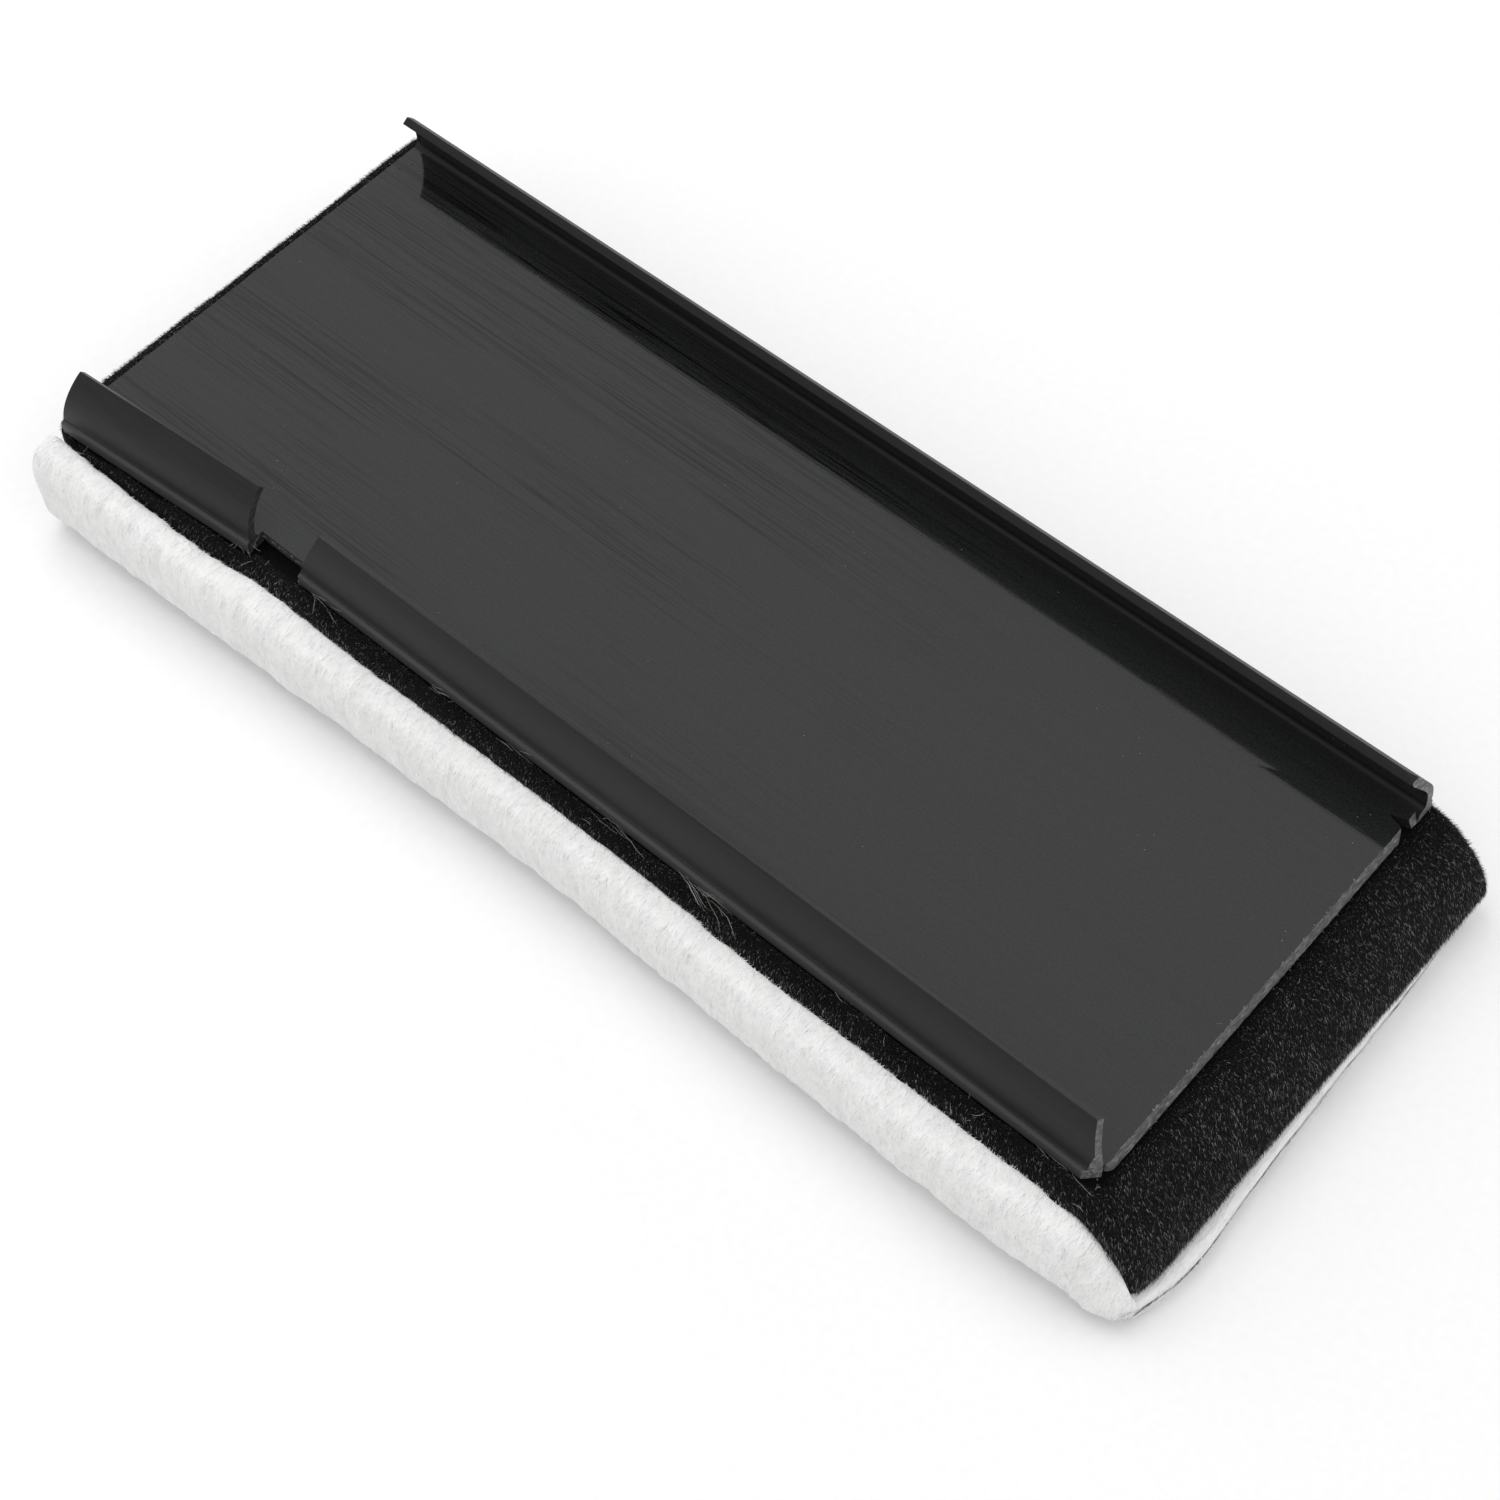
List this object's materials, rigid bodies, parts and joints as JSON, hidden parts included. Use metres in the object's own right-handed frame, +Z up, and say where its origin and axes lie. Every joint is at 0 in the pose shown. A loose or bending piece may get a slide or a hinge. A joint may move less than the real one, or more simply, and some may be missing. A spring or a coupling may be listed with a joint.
{
  "type": "chalkboard eraser",
  "caption": "Hand eraser for chalkboards: a plastic channel back with two in-leaning flanges over a velour-covered foam pad, with white plush beneath and up one long side.",
  "frame": {"origin": "on the floor, below the middle of the eraser's bounding box", "axes": "+X along the length towards the end where the pad overhangs the back, +Y across towards the unbroken flange, +Z up"},
  "size_m": [0.1832, 0.0766, 0.0247],
  "materials": {
    "black_plastic": "glossy black extruded PVC with faint streaks along its length and pale sawn edges",
    "clear_glue": "cloudy hot-melt glue",
    "black_velour": "short-pile black velour with a fine sparkle",
    "grey_foam": "soft open-cell foam",
    "backing_cloth": "off-white knitted ground cloth",
    "white_pile": "soft white long-pile plush"
  },
  "bodies": {
    "root": {"channel_back": "black_plastic", "upper_glue_film": "clear_glue", "velour_cover": "black_velour", "foam_core": "grey_foam", "lower_glue_film": "clear_glue", "plush_backing": "backing_cloth", "plush_pile": "white_pile"}
  },
  "joints": []
}
